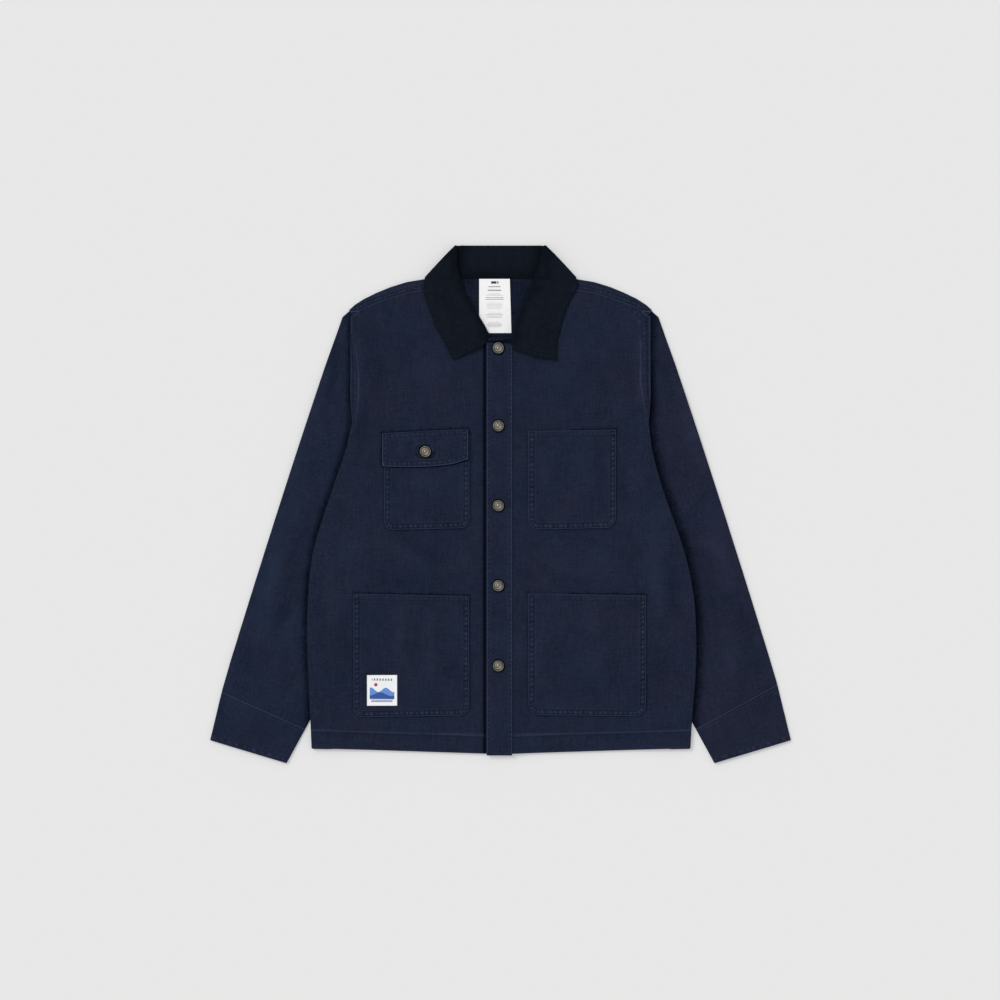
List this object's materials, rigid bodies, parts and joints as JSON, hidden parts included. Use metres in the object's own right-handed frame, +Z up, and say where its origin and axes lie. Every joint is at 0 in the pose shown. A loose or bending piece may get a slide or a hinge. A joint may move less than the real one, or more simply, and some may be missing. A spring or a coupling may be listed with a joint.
{
  "type": "chore jacket laid flat",
  "caption": "Buttoned cotton work jacket lying flat on its back, with a corduroy collar, patch pockets, a chest flap and long cuffed sleeves.",
  "frame": {"origin": "middle of the jacket's box, on the surface it lies on", "axes": "+X to the wearer's left, +Y from the hem to the collar, +Z up, out of the jacket's front"},
  "size_m": [0.872, 0.7772, 0.0161],
  "materials": {
    "cloth": "matt navy cotton twill, washed",
    "corduroy": "fine dark navy corduroy",
    "button_metal": "antique metal, satin",
    "neck_label": "white printed tape",
    "pocket_label": "white woven label, printed blue"
  },
  "bodies": {
    "root": {"back": "cloth", "front_right": "cloth", "front_left": "cloth", "front_band": "cloth", "sleeve_right": "cloth", "sleeve_left": "cloth", "cuff_right": "cloth", "cuff_left": "cloth", "collar": "corduroy", "chest_pocket_right": "cloth", "chest_pocket_left": "cloth", "hip_pocket_right": "cloth", "hip_pocket_left": "cloth", "pocket_flap": "cloth", "button_1": "button_metal", "button_2": "button_metal", "button_3": "button_metal", "button_4": "button_metal", "button_5": "button_metal", "button_flap": "button_metal", "neck_label": "neck_label", "pocket_label": "pocket_label"}
  },
  "joints": []
}
